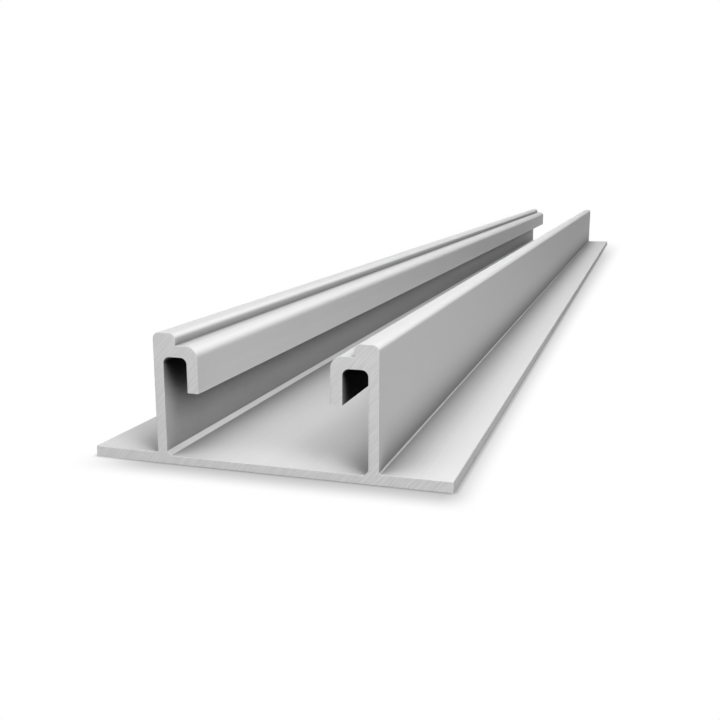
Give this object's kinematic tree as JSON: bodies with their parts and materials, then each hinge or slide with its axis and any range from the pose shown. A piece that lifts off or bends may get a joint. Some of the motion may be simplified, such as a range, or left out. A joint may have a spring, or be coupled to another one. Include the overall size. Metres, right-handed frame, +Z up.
{
  "type": "solar mounting rail",
  "caption": "Extruded aluminium rail with a flat flanged base plate and upright webs whose inward hooks form an open clamp channel.",
  "frame": {"origin": "middle of the underside of the base plate, halfway along the length", "axes": "+X across the width, +Y along the length, +Z up from the base plate to the hooks"},
  "size_m": [0.07, 0.56, 0.025],
  "materials": {
    "aluminium": "satin mill finish"
  },
  "bodies": {
    "root": {"mounting_rail": "aluminium"}
  },
  "joints": []
}
